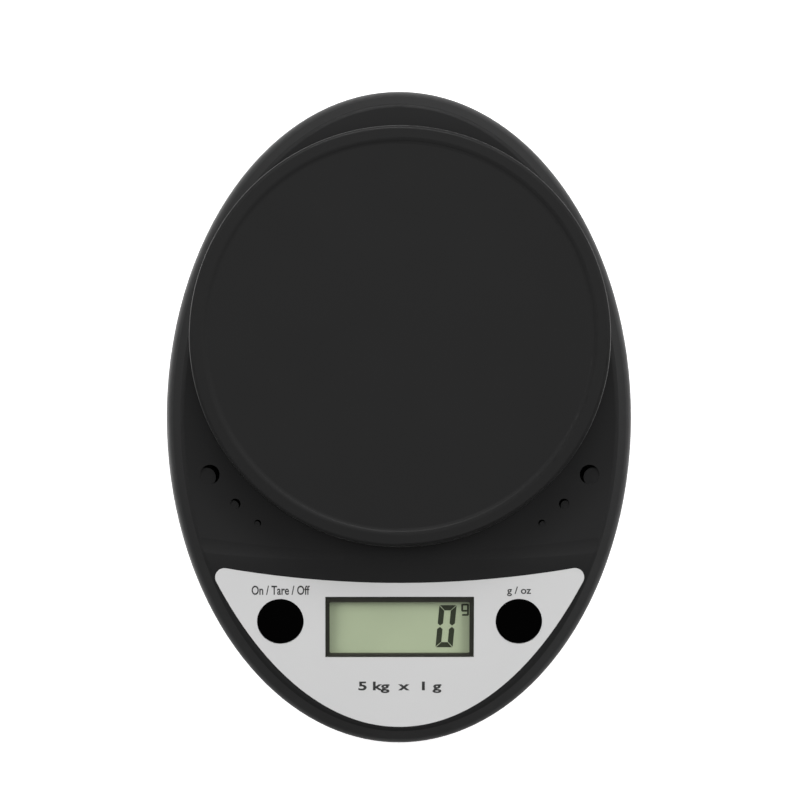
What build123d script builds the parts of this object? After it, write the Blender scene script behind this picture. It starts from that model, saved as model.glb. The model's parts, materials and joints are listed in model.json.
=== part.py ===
from build123d import *
from math import atan, cos, degrees, pi, radians, sin, tan
import os

os.makedirs("parts", exist_ok=True)

# A compact digital portion scale: an oval housing, a round dished platform on a bending load cell, and a
# tilted control panel at the front with a liquid crystal display between two buttons.
# X runs to the right, Y to the back, Z up. The origin is on the table under the middle of the housing.

# ---------------------------------------------------------------- driving dimensions (mm)
BODY_WIDTH = 152.4
BODY_LENGTH = 213.5
TOTAL_HEIGHT = 38.1

FOOT_HEIGHT = 2.0
WALL = 2.2
FIT = 0.25              # clearance between pieces that move or are put in by hand
DRAFT = 4.0             # degrees, skirt of the housing

# housing levels
FLOOR_BOTTOM = FOOT_HEIGHT
FLOOR_TOP = FLOOR_BOTTOM + WALL
SKIRT_BOTTOM = 3.2
DECK_TOP = 26.0
DECK_UNDER = DECK_TOP - WALL

# shoulder that runs round the rim of the housing
SHOULDER_WIDTH = 4.2
SHOULDER_DROP = 6.0
SHOULDER_SOFTENING = 9.0
RIM_SOFTENING = 1.6

# tilted control panel
PANEL_TILT = 13.0       # degrees
PANEL_BREAK_Y = -45.9   # where the panel's plane meets the deck
PANEL_BREAK_RADIUS = 25.0
DISPLAY_Y = -68.05
BUTTON_X = 38.65
BUTTON_Y = -66.15

# platform and what carries it
PLATFORM_Y = 26.1
PLATFORM_RADIUS = 68.0
PLATFORM_BOTTOM = 29.3
TRAVEL = 0.8            # how far the platform sinks before the overload stops
CELL_LENGTH = 80.0
CELL_SIDE = 12.7
CELL_BOTTOM = 6.5
CELL_TOP = CELL_BOTTOM + CELL_SIDE
CARRIER_BOTTOM = CELL_TOP + 1.6
CARRIER_TOP = CARRIER_BOTTOM + 2.0

# two AA cells side by side, lying along X at the back
BATTERY_RADIUS = 7.25
BATTERY_LENGTH = 50.5
BATTERY_Z = 12.0
BATTERY_FRONT_Y = 56.5
BATTERY_REAR_Y = 72.0
BAY_HALF_X = 29.5
BAY_FRONT_Y = 48.8
BAY_REAR_Y = 79.7
BAY_ROOF = 19.6
BAY_WALL = 1.6

HOUSING_SCREWS = [(57.0, -45.0), (62.0, 10.0), (36.0, 84.0)]    # right side, mirrored to the left
FOOT_SPOTS = {"front": (44.0, -68.0), "rear": (50.0, 58.0)}     # right side, mirrored to the left


def panel_z(y):
    """Height of the control panel's plane above the table at a given y."""
    return DECK_TOP + (y - PANEL_BREAK_Y) * tan(radians(PANEL_TILT))


def panel_plane(depth=0.0, x=0.0, y=DISPLAY_Y):
    """Plane parallel to the panel, depth below it, with its origin under the panel point (x, y)."""
    surface = Plane(
        origin=(x, y, panel_z(y)),
        x_dir=(1, 0, 0),
        z_dir=(0, -sin(radians(PANEL_TILT)), cos(radians(PANEL_TILT))),
    )
    return surface.offset(-depth)


def both_sides(spots):
    """Each (x, y) of the right side with its mirror image on the left."""
    return [(side * x, y) for x, y in spots for side in (-1, 1)]


def steepness(face):
    """Upward part of a face's normal: 1 on a level top, 0 on an upright wall."""
    return face.normal_at().Z


def shared_edges(builder, first, second):
    """Edges of the part that lie between a face of the first kind and one of the second."""
    first_edges = [edge for face in builder.faces() if first(face) for edge in face.edges()]
    second_edges = [edge for face in builder.faces() if second(face) for edge in face.edges()]
    return [edge for edge in first_edges if edge in second_edges]


# ---------------------------------------------------------------- outer form of the housing
def housing_form(inset, softened):
    """Oval block under the deck and panel surfaces, shrunk by inset on its top and sides."""
    top = DECK_TOP - inset
    front_end = -BODY_LENGTH
    front_z = top - (PANEL_BREAK_Y - front_end) * tan(radians(PANEL_TILT))
    with BuildPart() as form:
        with BuildSketch(Plane.XY.offset(SKIRT_BOTTOM)):
            Ellipse(BODY_WIDTH / 2 - inset, BODY_LENGTH / 2 - inset)
        extrude(amount=TOTAL_HEIGHT, taper=DRAFT)
        with BuildSketch(Plane.YZ):
            with BuildLine():
                FilletPolyline(
                    (BODY_LENGTH, top),
                    (PANEL_BREAK_Y, top),
                    (front_end, front_z),
                    radius=PANEL_BREAK_RADIUS,
                )
                Polyline(
                    (front_end, front_z),
                    (front_end, 2 * TOTAL_HEIGHT),
                    (BODY_LENGTH, 2 * TOTAL_HEIGHT),
                    (BODY_LENGTH, top),
                )
            make_face()
        extrude(amount=BODY_WIDTH, both=True, mode=Mode.SUBTRACT)
        rim = shared_edges(form, lambda f: steepness(f) > 0.7, lambda f: abs(steepness(f)) < 0.3)
        chamfer(rim, SHOULDER_DROP, SHOULDER_WIDTH)
        if softened:
            low = shared_edges(
                form, lambda f: abs(steepness(f)) < 0.15, lambda f: 0.3 < steepness(f) < 0.93
            )
            fillet(low, SHOULDER_SOFTENING)
            high = shared_edges(form, lambda f: steepness(f) > 0.96, lambda f: 0.3 < steepness(f) < 0.93)
            fillet(high, RIM_SOFTENING)
    return form.part


outer_form = housing_form(0.0, softened=True)
cavity_form = housing_form(WALL, softened=False)
boss_limit_form = housing_form(WALL / 2, softened=False)
base_limit_form = housing_form(WALL + FIT, softened=False)


def panel_slab(top, bottom):
    """Block between two planes parallel to the panel, top and bottom mm above its surface."""
    with BuildPart() as slab:
        with BuildSketch(panel_plane(depth=-bottom)):
            Rectangle(BODY_WIDTH, BODY_LENGTH)
        extrude(amount=top - bottom)
    return slab.part


# ---------------------------------------------------------------- control panel outline
OVERLAY_THICKNESS = 0.5
OVERLAY_TOP_ARC_Y = 275.8       # centre of the large arc that bounds the panel at the back
OVERLAY_TOP_ARC = 329.4
OVERLAY_OVAL_Y = 63.1           # centre of the oval that bounds it at the front
OVERLAY_OVAL = (84.1, 164.0)
OVERLAY_CORNER = 3.0
WINDOW = (48.2, 20.4)           # display window in the panel
BUTTON_RADIUS = 7.3


def overlay_outline(grow):
    """Plan of the panel sheet: an oval cut off by a large arc, with rounded corners."""
    with BuildSketch() as outline:
        with Locations((0, OVERLAY_OVAL_Y)):
            Ellipse(OVERLAY_OVAL[0] + grow, OVERLAY_OVAL[1] + grow)
        with Locations((0, OVERLAY_TOP_ARC_Y)):
            Circle(OVERLAY_TOP_ARC - grow, mode=Mode.SUBTRACT)
        fillet(outline.vertices().group_by(Axis.Y)[-1], OVERLAY_CORNER)
    return outline.sketch


# ---------------------------------------------------------------- top housing
OVERLAY_FIT = 0.1
DECK_HOLE_RADIUS = 44.0
COLLAR_THICKNESS = 1.5
COLLAR_TOP = 28.0
GROOVE_RADIUS = 14.0
GROOVE_DEPTH = 0.2
GROOVE_Y = -45.8
GROOVE_ARC = 450.0              # radius, seen from above, of the arc that the groove follows
SCOOP_CIRCLE = 75.8             # circle about the platform's centre on which the scoops lie
SCOOP_TILT = 11.0               # slope of a scoop's floor, down towards the platform
SCOOP_SLOT = 0.5                # width of the slot at a scoop's deep side, as a part of its radius
SCOOP_LIP = 0.06                # depth of a scoop at its shallow side
SCOOPS = [(6.3, 36.0), (3.4, 45.5), (2.3, 52.7)]    # diameter, angle below the X axis
BOSS_RADIUS = 3.5
SCREW_RADIUS = 1.3
BOSS_BOTTOM = 7.6
HOUSING_SCREW_TIP = 14.0
PCB_TOP = 7.8                   # depth of the circuit board's top face under the panel
PCB_THICKNESS = 1.6
PCB_SCREWS = [(31.0, 11.0), (31.0, -11.0)]
PCB_SCREW_RADIUS = 1.0
PCB_SCREW_TIP = 3.4
PCB_BOSS_RADIUS = 2.25

with BuildPart() as housing_bosses:
    with BuildSketch(Plane.XY.offset(BOSS_BOTTOM)):
        with Locations(*both_sides(HOUSING_SCREWS)):
            Circle(BOSS_RADIUS)
    extrude(amount=TOTAL_HEIGHT)
    add(boss_limit_form, mode=Mode.INTERSECT)


def scoop_tool(diameter, angle, side):
    """Cutter for a round scoop whose slanting floor falls to a crescent slot through the deck."""
    radius = diameter / 2
    toward = (-side * cos(radians(angle)), sin(radians(angle)))
    centre = (-toward[0] * SCOOP_CIRCLE, PLATFORM_Y - toward[1] * SCOOP_CIRCLE)
    floor_plane = Plane(
        origin=(
            centre[0] - toward[0] * radius,
            centre[1] - toward[1] * radius,
            DECK_TOP - SCOOP_LIP,
        ),
        x_dir=(toward[1], -toward[0], 0),
        z_dir=(
            toward[0] * sin(radians(SCOOP_TILT)),
            toward[1] * sin(radians(SCOOP_TILT)),
            cos(radians(SCOOP_TILT)),
        ),
    )
    with BuildPart() as scoop:
        with BuildSketch(Plane.XY.offset(DECK_TOP - 2 * WALL)):
            with Locations(centre):
                Circle(radius)
        extrude(amount=3 * WALL)
        split(bisect_by=floor_plane, keep=Keep.TOP)
        shift = SCOOP_SLOT * radius
        with BuildSketch(Plane.XY.offset(DECK_TOP - 2 * WALL)):
            with Locations(centre):
                Circle(radius)
            with Locations((centre[0] - shift * toward[0], centre[1] - shift * toward[1])):
                Circle(radius, mode=Mode.SUBTRACT)
        extrude(amount=3 * WALL)
    return scoop.part


scoop_tools = [scoop_tool(diameter, angle, side) for diameter, angle in SCOOPS for side in (-1, 1)]

with BuildPart() as top_housing:
    add(outer_form)
    add(cavity_form, mode=Mode.SUBTRACT)
    # round hole under the platform, with a low collar that keeps spills out
    with BuildSketch(Plane.XY.offset(DECK_UNDER)):
        with Locations((0, PLATFORM_Y)):
            Circle(DECK_HOLE_RADIUS + COLLAR_THICKNESS)
    extrude(amount=COLLAR_TOP - DECK_UNDER)
    with BuildSketch(Plane.XY.offset(DECK_UNDER)):
        with Locations((0, PLATFORM_Y)):
            Circle(DECK_HOLE_RADIUS)
    extrude(amount=COLLAR_TOP - DECK_UNDER, mode=Mode.SUBTRACT)
    # faint hollow between the deck and the panel, along a large arc
    for swing in (-15, 15):
        with BuildSketch(Plane.YZ):
            with Locations((GROOVE_Y, DECK_TOP + GROOVE_RADIUS - GROOVE_DEPTH)):
                Circle(GROOVE_RADIUS)
        revolve(
            axis=Axis((0, GROOVE_Y + GROOVE_ARC, 0), (0, 0, 1)),
            revolution_arc=swing,
            mode=Mode.SUBTRACT,
        )
    add(scoop_tools, mode=Mode.SUBTRACT)
    # recess for the panel sheet
    add(
        extrude(overlay_outline(OVERLAY_FIT), amount=TOTAL_HEIGHT, mode=Mode.PRIVATE)
        & panel_slab(WALL, -OVERLAY_THICKNESS),
        mode=Mode.SUBTRACT,
    )
    # display window and button holes
    with BuildSketch(panel_plane(depth=2 * WALL)):
        Rectangle(WINDOW[0] + 2 * OVERLAY_FIT, WINDOW[1] + 2 * OVERLAY_FIT)
    extrude(amount=3 * WALL, mode=Mode.SUBTRACT)
    for side in (-1, 1):
        with BuildSketch(panel_plane(depth=2 * WALL, x=side * BUTTON_X, y=BUTTON_Y)):
            Circle(BUTTON_RADIUS + FIT)
        extrude(amount=3 * WALL, mode=Mode.SUBTRACT)
    # bosses for the housing screws and for the circuit board
    add(housing_bosses.part)
    with BuildSketch(Plane.XY.offset(BOSS_BOTTOM)):
        with Locations(*both_sides(HOUSING_SCREWS)):
            Circle(SCREW_RADIUS)
    extrude(amount=HOUSING_SCREW_TIP - BOSS_BOTTOM, mode=Mode.SUBTRACT)
    with BuildSketch(panel_plane(depth=PCB_TOP)):
        with Locations(*both_sides(PCB_SCREWS)):
            Circle(PCB_BOSS_RADIUS)
    extrude(amount=PCB_TOP - WALL / 2 - OVERLAY_THICKNESS)
    with BuildSketch(panel_plane(depth=PCB_TOP)):
        with Locations(*both_sides(PCB_SCREWS)):
            Circle(PCB_SCREW_RADIUS)
    extrude(amount=PCB_TOP - PCB_SCREW_TIP, mode=Mode.SUBTRACT)
    # soften the lower edge of the skirt
    fillet(top_housing.faces().filter_by(Axis.Z).group_by(Axis.Z)[0].edges().sort_by(Edge.length)[-1:], 0.6)
top_housing.part.label = "top_housing"
export_step(top_housing.part, "parts/top_housing.step")

# ---------------------------------------------------------------- panel sheet, lens and display
LENS_TOP = 0.1
LENS_BOTTOM = 0.9
BEZEL_BOTTOM = 2.6
BEZEL_OPENING = (45.4, 17.5)
BEZEL_OPENING_Y = -0.6          # the lower border of the frame is the thinner one
LCD_TOP = 2.7
LCD_BOTTOM = 4.9
LCD_SIZE = (50.0, 21.0)
HOLDER_SIZE = (54.0, 25.0)
STRIP_SIZE = (48.0, 2.2)
STRIP_Y = 9.2
PIECE_GAP = 0.1

with BuildPart() as display_overlay:
    with BuildSketch(Plane.XY):
        add(overlay_outline(0.0))
    extrude(amount=TOTAL_HEIGHT)
    add(panel_slab(0.0, -OVERLAY_THICKNESS), mode=Mode.INTERSECT)
    with BuildSketch(panel_plane(depth=WALL)):
        Rectangle(*WINDOW)
    extrude(amount=2 * WALL, mode=Mode.SUBTRACT)
    for side in (-1, 1):
        with BuildSketch(panel_plane(depth=WALL, x=side * BUTTON_X, y=BUTTON_Y)):
            Circle(BUTTON_RADIUS + FIT)
        extrude(amount=2 * WALL, mode=Mode.SUBTRACT)
display_overlay.part.label = "display_overlay"
export_step(display_overlay.part, "parts/display_overlay.step")

with BuildPart() as display_lens:
    with BuildSketch(panel_plane(depth=LENS_BOTTOM)):
        RectangleRounded(WINDOW[0] - PIECE_GAP, WINDOW[1] - PIECE_GAP, 0.4)
    extrude(amount=LENS_BOTTOM - LENS_TOP)
    chamfer(display_lens.faces().sort_by(Axis.Z)[-1].edges(), 0.15)
display_lens.part.label = "display_lens"
export_step(display_lens.part, "parts/display_lens.step")

with BuildPart() as lcd_bezel:
    with BuildSketch(panel_plane(depth=BEZEL_BOTTOM)):
        RectangleRounded(WINDOW[0] - PIECE_GAP, WINDOW[1] - PIECE_GAP, 0.4)
        with Locations((0, BEZEL_OPENING_Y)):
            RectangleRounded(*BEZEL_OPENING, 0.5, mode=Mode.SUBTRACT)
    extrude(amount=BEZEL_BOTTOM - LENS_BOTTOM)
lcd_bezel.part.label = "lcd_bezel"
export_step(lcd_bezel.part, "parts/lcd_bezel.step")

with BuildPart() as lcd_glass:
    with BuildSketch(panel_plane(depth=LCD_BOTTOM)):
        Rectangle(*LCD_SIZE)
    extrude(amount=LCD_BOTTOM - LCD_TOP)
lcd_glass.part.label = "lcd_glass"
export_step(lcd_glass.part, "parts/lcd_glass.step")

with BuildPart() as lcd_holder:
    with BuildSketch(panel_plane(depth=PCB_TOP)):
        RectangleRounded(*HOLDER_SIZE, 1.0)
        Rectangle(LCD_SIZE[0] + 2 * PIECE_GAP, LCD_SIZE[1] + 2 * PIECE_GAP, mode=Mode.SUBTRACT)
    extrude(amount=PCB_TOP - LCD_TOP)
lcd_holder.part.label = "lcd_holder"
export_step(lcd_holder.part, "parts/lcd_holder.step")

with BuildPart() as zebra_strips:
    with BuildSketch(panel_plane(depth=PCB_TOP)):
        with Locations((0, STRIP_Y), (0, -STRIP_Y)):
            Rectangle(*STRIP_SIZE)
    extrude(amount=PCB_TOP - LCD_BOTTOM)
zebra_strips.part.label = "zebra_strips"
export_step(zebra_strips.part, "parts/zebra_strips.step")

# ---------------------------------------------------------------- circuit board and what is on it
PCB_BOTTOM = PCB_TOP + PCB_THICKNESS
PCB_HALF_WIDTH = 46.0
PCB_BACK = 13.0
PCB_FRONT = -14.0
PCB_CORNER = 9.0
CHIP_RADIUS = 6.0
CHIP_HEIGHT = 1.6
CHIP_SOFTENING = 1.4
CAPACITORS = [(-14.0, 5.0), (-14.0, -4.0), (22.0, -6.0)]
CAPACITOR_RADIUS = 2.0
CAPACITOR_HEIGHT = 2.6
CRYSTAL_SPOT = (13.0, -7.5)
CRYSTAL_SIZE = (8.0, 3.2, 2.2)
RESISTOR_SPACING = 3.4
RESISTOR_ROW = (-24.0, -2.0)
RESISTOR_SIZE = (2.0, 1.25, 0.6)
PCB_HEAD_RADIUS = 1.9
PCB_HEAD_HEIGHT = 1.3

with BuildPart() as main_pcb:
    with BuildSketch(panel_plane(depth=PCB_BOTTOM)) as board:
        with Locations((0, (PCB_BACK + PCB_FRONT) / 2)):
            Rectangle(2 * PCB_HALF_WIDTH, PCB_BACK - PCB_FRONT)
        chamfer(board.vertices().group_by(Axis.Y)[0], PCB_CORNER)
        with Locations(*both_sides(PCB_SCREWS)):
            Circle(PCB_SCREW_RADIUS, mode=Mode.SUBTRACT)
    extrude(amount=PCB_THICKNESS)
main_pcb.part.label = "main_pcb"
export_step(main_pcb.part, "parts/main_pcb.step")

with BuildPart() as cob_chip:
    with BuildSketch(panel_plane(depth=PCB_BOTTOM)):
        Circle(CHIP_RADIUS)
    extrude(amount=-CHIP_HEIGHT)
    fillet(cob_chip.faces().sort_by(Axis.Z)[0].edges(), CHIP_SOFTENING)
cob_chip.part.label = "cob_chip"
export_step(cob_chip.part, "parts/cob_chip.step")

with BuildPart() as pcb_capacitors:
    with BuildSketch(panel_plane(depth=PCB_BOTTOM)):
        with Locations(*CAPACITORS):
            Circle(CAPACITOR_RADIUS)
    extrude(amount=-CAPACITOR_HEIGHT)
pcb_capacitors.part.label = "pcb_capacitors"
export_step(pcb_capacitors.part, "parts/pcb_capacitors.step")

with BuildPart() as crystal:
    with BuildSketch(panel_plane(depth=PCB_BOTTOM)):
        with Locations(CRYSTAL_SPOT):
            SlotOverall(*CRYSTAL_SIZE[:2])
    extrude(amount=-CRYSTAL_SIZE[2])
crystal.part.label = "crystal"
export_step(crystal.part, "parts/crystal.step")

with BuildPart() as pcb_resistors:
    with BuildSketch(panel_plane(depth=PCB_BOTTOM)):
        with Locations(RESISTOR_ROW):
            with GridLocations(RESISTOR_SPACING, RESISTOR_SPACING, 3, 3):
                Rectangle(*RESISTOR_SIZE[:2])
    extrude(amount=-RESISTOR_SIZE[2])
pcb_resistors.part.label = "pcb_resistors"
export_step(pcb_resistors.part, "parts/pcb_resistors.step")

with BuildPart() as pcb_screws:
    with BuildSketch(panel_plane(depth=PCB_BOTTOM)):
        with Locations(*both_sides(PCB_SCREWS)):
            Circle(PCB_SCREW_RADIUS)
    extrude(amount=PCB_BOTTOM - PCB_SCREW_TIP)
    with BuildSketch(panel_plane(depth=PCB_BOTTOM)):
        with Locations(*both_sides(PCB_SCREWS)):
            Circle(PCB_HEAD_RADIUS)
    extrude(amount=-PCB_HEAD_HEIGHT)
pcb_screws.part.label = "pcb_screws"
export_step(pcb_screws.part, "parts/pcb_screws.step")

# ---------------------------------------------------------------- buttons with their switches
BUTTON_PROUD = 0.3
FLANGE_TOP = WALL + PIECE_GAP
FLANGE_BOTTOM = FLANGE_TOP + 0.8
PLUNGER_TOP = 3.4
PLUNGER_BOTTOM = 4.8
SWITCH_TOP = 4.3
SWITCH_SIDE = 6.0

for side, name in ((-1, "left"), (1, "right")):
    spot = {"x": side * BUTTON_X, "y": BUTTON_Y}

    with BuildPart() as button:
        with BuildSketch(panel_plane(depth=FLANGE_BOTTOM, **spot)):
            Circle(BUTTON_RADIUS + 1.1)
        extrude(amount=FLANGE_BOTTOM - FLANGE_TOP)
        with BuildSketch(panel_plane(depth=FLANGE_TOP, **spot)):
            Circle(BUTTON_RADIUS)
        extrude(amount=FLANGE_TOP + BUTTON_PROUD)
        fillet(button.faces().sort_by(Axis.Z)[-1].edges(), 0.6)
        with BuildSketch(panel_plane(depth=PLUNGER_TOP, **spot)):
            Circle(2.0)
        extrude(amount=PLUNGER_TOP - FLANGE_BOTTOM)
    button.part.label = "button_" + name
    export_step(button.part, f"parts/button_{name}.step")

    with BuildPart() as plunger:
        with BuildSketch(panel_plane(depth=PLUNGER_BOTTOM, **spot)):
            Circle(1.7)
        extrude(amount=PLUNGER_BOTTOM - PLUNGER_TOP)
    plunger.part.label = "plunger_" + name
    export_step(plunger.part, f"parts/plunger_{name}.step")

    with BuildPart() as tact_switch:
        with BuildSketch(panel_plane(depth=PCB_TOP, **spot)):
            RectangleRounded(SWITCH_SIDE, SWITCH_SIDE, 0.6)
        extrude(amount=PCB_TOP - SWITCH_TOP)
        with BuildSketch(panel_plane(depth=SWITCH_TOP, **spot)):
            Circle(2.0)
        extrude(amount=-1.2, mode=Mode.SUBTRACT)
    tact_switch.part.label = "tact_switch_" + name
    export_step(tact_switch.part, f"parts/tact_switch_{name}.step")

# ---------------------------------------------------------------- bottom housing
BASE_INSET = 2.5
RIM_INSET = 3.0
RIM_THICKNESS = 1.6
RIM_TOP = 7.5
BASE_EDGE = 0.8
PEDESTAL_TOP = BOSS_BOTTOM - PIECE_GAP
HEAD_RADIUS = 2.6
HEAD_SEAT = 5.0
FOOT_RADIUS = 5.5
FOOT_RECESS = 0.6
LABEL_SIZE = (46.0, 28.0)
LABEL_SPOT = (0.0, -14.0)
LABEL_RECESS = 0.25
LABEL_THICKNESS = 0.2

CELL_FIXED_X = -31.0            # middle of the pair of screws at the fixed end of the load cell
CELL_LIVE_X = 31.0              # middle of the pair that carries the platform
CELL_SCREW_PITCH = 8.0
CELL_SCREW_RADIUS = 2.0
CELL_PEDESTAL = (20.0, 15.0)
CELL_PEDESTAL_TOP = 5.7
CELL_HEAD_RADIUS = 3.5
CELL_HEAD_SEAT = 4.0

STOPS = [(24.0, PLATFORM_Y - 14.5), (24.0, PLATFORM_Y + 14.5)]      # mirrored to the left
STOP_POST_RADIUS = 3.25
STOP_POST_TOP = 16.0
STOP_SCREW_RADIUS = 1.5
STOP_SCREW_TOP = CARRIER_BOTTOM - TRAVEL - 0.05

TONGUE_X = 18.0
TONGUE_WIDTH = 8.0
TONGUE_REACH = 3.0
TONGUE_BOTTOM = FLOOR_TOP + 0.05
TONGUE_TOP = TONGUE_BOTTOM + 1.0
TONGUE_SLOT_TOP = 6.9
LATCH_WIDTH = 12.0
LATCH_SLOT_TOP = 9.0
LATCH_NOSE = 0.8
THUMB_RADIUS = 9.0
CONTACT_THICKNESS = 0.4
TAB_Z = 15.0
TAB_WIDTH = 3.0
TAB_REACH = 2.4

bay_middle_y = (BAY_FRONT_Y + BAY_REAR_Y) / 2
bay_depth = BAY_REAR_Y - BAY_FRONT_Y
foot_spots = both_sides(FOOT_SPOTS.values())
cell_fixed_screws = [
    (CELL_FIXED_X - CELL_SCREW_PITCH / 2, PLATFORM_Y),
    (CELL_FIXED_X + CELL_SCREW_PITCH / 2, PLATFORM_Y),
]
cell_live_screws = [
    (CELL_LIVE_X - CELL_SCREW_PITCH / 2, PLATFORM_Y),
    (CELL_LIVE_X + CELL_SCREW_PITCH / 2, PLATFORM_Y),
]

# upright rim that locates the top housing, cut away where the panel comes down to it
with BuildPart() as locating_rim:
    with BuildSketch(Plane.XY.offset(FLOOR_TOP)):
        Ellipse(BODY_WIDTH / 2 - RIM_INSET, BODY_LENGTH / 2 - RIM_INSET)
        Ellipse(
            BODY_WIDTH / 2 - RIM_INSET - RIM_THICKNESS,
            BODY_LENGTH / 2 - RIM_INSET - RIM_THICKNESS,
            mode=Mode.SUBTRACT,
        )
    extrude(amount=RIM_TOP - FLOOR_TOP)
    add(base_limit_form, mode=Mode.INTERSECT)

with BuildPart() as bottom_housing:
    with BuildSketch(Plane.XY.offset(FLOOR_BOTTOM)):
        Ellipse(BODY_WIDTH / 2 - BASE_INSET, BODY_LENGTH / 2 - BASE_INSET)
    extrude(amount=WALL)
    chamfer(bottom_housing.faces().sort_by(Axis.Z)[0].edges(), BASE_EDGE)
    add(locating_rim.part)
    # pedestals for the housing screws, the load cell and the overload stops
    with BuildSketch(Plane.XY.offset(FLOOR_TOP)):
        with Locations(*both_sides(HOUSING_SCREWS)):
            Circle(BOSS_RADIUS + 0.5)
    extrude(amount=PEDESTAL_TOP - FLOOR_TOP)
    with BuildSketch(Plane.XY.offset(FLOOR_TOP)):
        with Locations((CELL_FIXED_X, PLATFORM_Y)):
            RectangleRounded(*CELL_PEDESTAL, 1.5)
    extrude(amount=CELL_PEDESTAL_TOP - FLOOR_TOP)
    with BuildSketch(Plane.XY.offset(FLOOR_TOP)):
        with Locations(*both_sides(STOPS)):
            Circle(STOP_POST_RADIUS)
    extrude(amount=STOP_POST_TOP - FLOOR_TOP, taper=1)
    # battery bay: a box with a roof, open at the bottom where the door closes it
    with BuildSketch(Plane.XY.offset(FLOOR_TOP)):
        with Locations((0, bay_middle_y)):
            RectangleRounded(2 * (BAY_HALF_X + BAY_WALL), bay_depth + 2 * BAY_WALL, 1.2)
    extrude(amount=BAY_ROOF + BAY_WALL - FLOOR_TOP)
    with BuildSketch(Plane.XY):
        with Locations((0, bay_middle_y)):
            Rectangle(2 * BAY_HALF_X, bay_depth)
    extrude(amount=BAY_ROOF, mode=Mode.SUBTRACT)
    # slots for the door's tongues and latch, and for the solder tabs of the contacts
    with BuildSketch(Plane.XY.offset(FLOOR_TOP)):
        with Locations((-TONGUE_X, BAY_FRONT_Y - BAY_WALL), (TONGUE_X, BAY_FRONT_Y - BAY_WALL)):
            Rectangle(TONGUE_WIDTH + 2 * FIT, 2 * BAY_WALL)
    extrude(amount=TONGUE_SLOT_TOP - FLOOR_TOP, mode=Mode.SUBTRACT)
    with BuildSketch(Plane.XY.offset(FLOOR_TOP)):
        with Locations((0, BAY_REAR_Y + BAY_WALL)):
            Rectangle(LATCH_WIDTH + 2 * FIT, 2 * BAY_WALL)
    extrude(amount=LATCH_SLOT_TOP - FLOOR_TOP, mode=Mode.SUBTRACT)
    with BuildSketch(Plane.XY.offset(TAB_Z)):
        with Locations((-BAY_HALF_X, BATTERY_FRONT_Y), (-BAY_HALF_X, BATTERY_REAR_Y)):
            Rectangle(4 * BAY_WALL, TAB_WIDTH + FIT)
    extrude(amount=CONTACT_THICKNESS + FIT, mode=Mode.SUBTRACT)
    # screw holes with recesses for the heads
    with BuildSketch(Plane.XY):
        with Locations(*both_sides(HOUSING_SCREWS)):
            Circle(HEAD_RADIUS + 0.2)
    extrude(amount=HEAD_SEAT, mode=Mode.SUBTRACT)
    with BuildSketch(Plane.XY):
        with Locations(*both_sides(HOUSING_SCREWS)):
            Circle(SCREW_RADIUS + 0.2)
    extrude(amount=BOSS_BOTTOM, mode=Mode.SUBTRACT)
    with BuildSketch(Plane.XY):
        with Locations(*cell_fixed_screws):
            Circle(CELL_HEAD_RADIUS + 0.2)
    extrude(amount=CELL_HEAD_SEAT, mode=Mode.SUBTRACT)
    with BuildSketch(Plane.XY):
        with Locations(*cell_fixed_screws):
            Circle(CELL_SCREW_RADIUS + 0.2)
    extrude(amount=CELL_BOTTOM, mode=Mode.SUBTRACT)
    with BuildSketch(Plane.XY.offset(FLOOR_TOP + 1.0)):
        with Locations(*both_sides(STOPS)):
            Circle(STOP_SCREW_RADIUS)
    extrude(amount=STOP_POST_TOP, mode=Mode.SUBTRACT)
    # recesses for the feet and the label, and a hollow for the thumb behind the latch
    with BuildSketch(Plane.XY.offset(FLOOR_BOTTOM)):
        with Locations(*foot_spots):
            Circle(FOOT_RADIUS + 0.15)
        with Locations(LABEL_SPOT):
            RectangleRounded(LABEL_SIZE[0] + 0.4, LABEL_SIZE[1] + 0.4, 2.2)
    extrude(amount=LABEL_RECESS, mode=Mode.SUBTRACT)
    with BuildSketch(Plane.XY.offset(FLOOR_BOTTOM)):
        with Locations(*foot_spots):
            Circle(FOOT_RADIUS + 0.15)
    extrude(amount=FOOT_RECESS, mode=Mode.SUBTRACT)
    with BuildSketch(Plane.XZ.offset(-BAY_REAR_Y)):
        with Locations((0, FLOOR_BOTTOM - THUMB_RADIUS + 1.2)):
            Circle(THUMB_RADIUS)
    extrude(amount=-5.0, mode=Mode.SUBTRACT)
bottom_housing.part.label = "bottom_housing"
export_step(bottom_housing.part, "parts/bottom_housing.step")

for place, (foot_x, foot_y) in FOOT_SPOTS.items():
    for side, name in ((-1, "left"), (1, "right")):
        with BuildPart() as foot:
            with BuildSketch(Plane.XY):
                with Locations((side * foot_x, foot_y)):
                    Circle(FOOT_RADIUS)
            extrude(amount=FLOOR_BOTTOM + FOOT_RECESS)
            fillet(foot.faces().sort_by(Axis.Z)[0].edges(), 0.5)
        foot.part.label = f"foot_{place}_{name}"
        export_step(foot.part, f"parts/foot_{place}_{name}.step")

with BuildPart() as underside_label:
    with BuildSketch(Plane.XY.offset(FLOOR_BOTTOM + LABEL_RECESS - LABEL_THICKNESS)):
        with Locations(LABEL_SPOT):
            RectangleRounded(*LABEL_SIZE, 2.0)
    extrude(amount=LABEL_THICKNESS)
underside_label.part.label = "underside_label"
export_step(underside_label.part, "parts/underside_label.step")


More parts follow.
